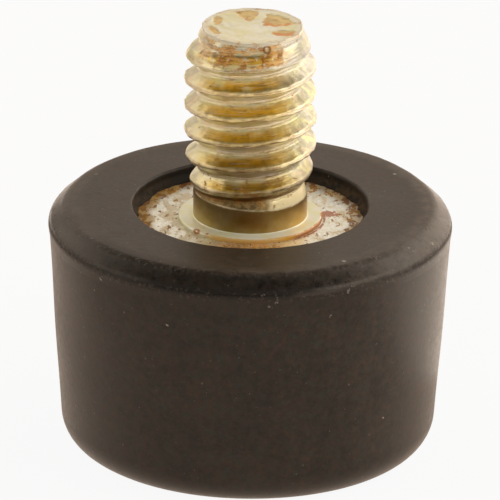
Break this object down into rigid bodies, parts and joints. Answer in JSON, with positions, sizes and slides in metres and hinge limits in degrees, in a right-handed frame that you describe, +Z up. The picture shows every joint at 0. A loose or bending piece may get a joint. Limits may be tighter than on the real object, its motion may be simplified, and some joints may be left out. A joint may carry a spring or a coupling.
{
  "type": "rubber foot",
  "caption": "Round rubber foot with a chamfered top face, a steel plate bonded in its shallow recess and an upright threaded stud.",
  "frame": {"origin": "centre of the base, on the surface that the foot stands on", "axes": "+Z up along the stud; the part is round about Z, so X and Y are free"},
  "size_m": [0.019, 0.019, 0.0209],
  "materials": {
    "rubber": "moulded, satin, slightly worn",
    "plate_steel": "grey steel with brown rust stains at its rim",
    "stud_steel": "pale yellow passivated, stained in the thread"
  },
  "bodies": {
    "root": {"rubber_body": "rubber", "insert_plate": "plate_steel", "threaded_stud": "stud_steel"}
  },
  "joints": []
}
